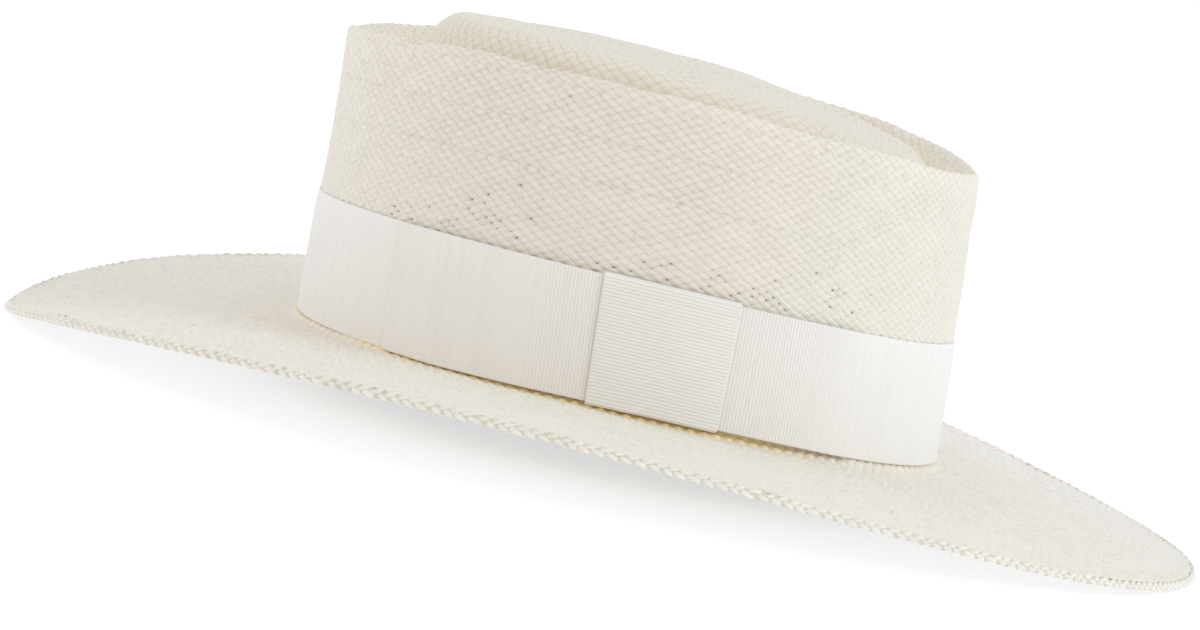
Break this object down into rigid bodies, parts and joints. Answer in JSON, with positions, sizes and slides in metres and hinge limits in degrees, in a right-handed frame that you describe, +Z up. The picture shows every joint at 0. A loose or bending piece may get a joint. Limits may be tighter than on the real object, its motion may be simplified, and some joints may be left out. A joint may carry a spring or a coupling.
{
  "type": "panama hat",
  "caption": "White woven straw hat with a flat telescope crown, a wide curled brim with a plaited edge, a grosgrain band with a flat bow, and a sewn-in sweatband.",
  "frame": {"origin": "on the floor under the middle of the brim, the hat standing on the front and back of its brim", "axes": "+Z up; -X towards the front of the hat; -Y towards the wearer's left, where the bow is"},
  "size_m": [0.3814, 0.328, 0.121],
  "materials": {
    "straw": "bleached toquilla straw in a fine diagonal plain weave, low sheen",
    "straw_plait": "the same straw plaited into a rope-like edge",
    "grosgrain": "off-white grosgrain with fine cross ribs, soft sheen",
    "sweatband_cotton": "matt off-white cotton twill",
    "cotton_tape": "woven cotton tape",
    "thread": "off-white sewing thread",
    "label_satin": "blank woven satin label"
  },
  "bodies": {
    "root": {"straw_body": "straw", "brim_edge_braid": "straw_plait", "ribbon_band": "grosgrain", "bow_loops": "grosgrain", "bow_tab": "grosgrain", "sweatband": "sweatband_cotton", "sweatband_seam_tape": "cotton_tape", "sweatband_stitching": "thread", "size_label": "label_satin", "band_tack_back": "thread", "band_tack_right_back": "thread", "band_tack_right_front": "thread", "band_tack_front": "thread"}
  },
  "joints": []
}
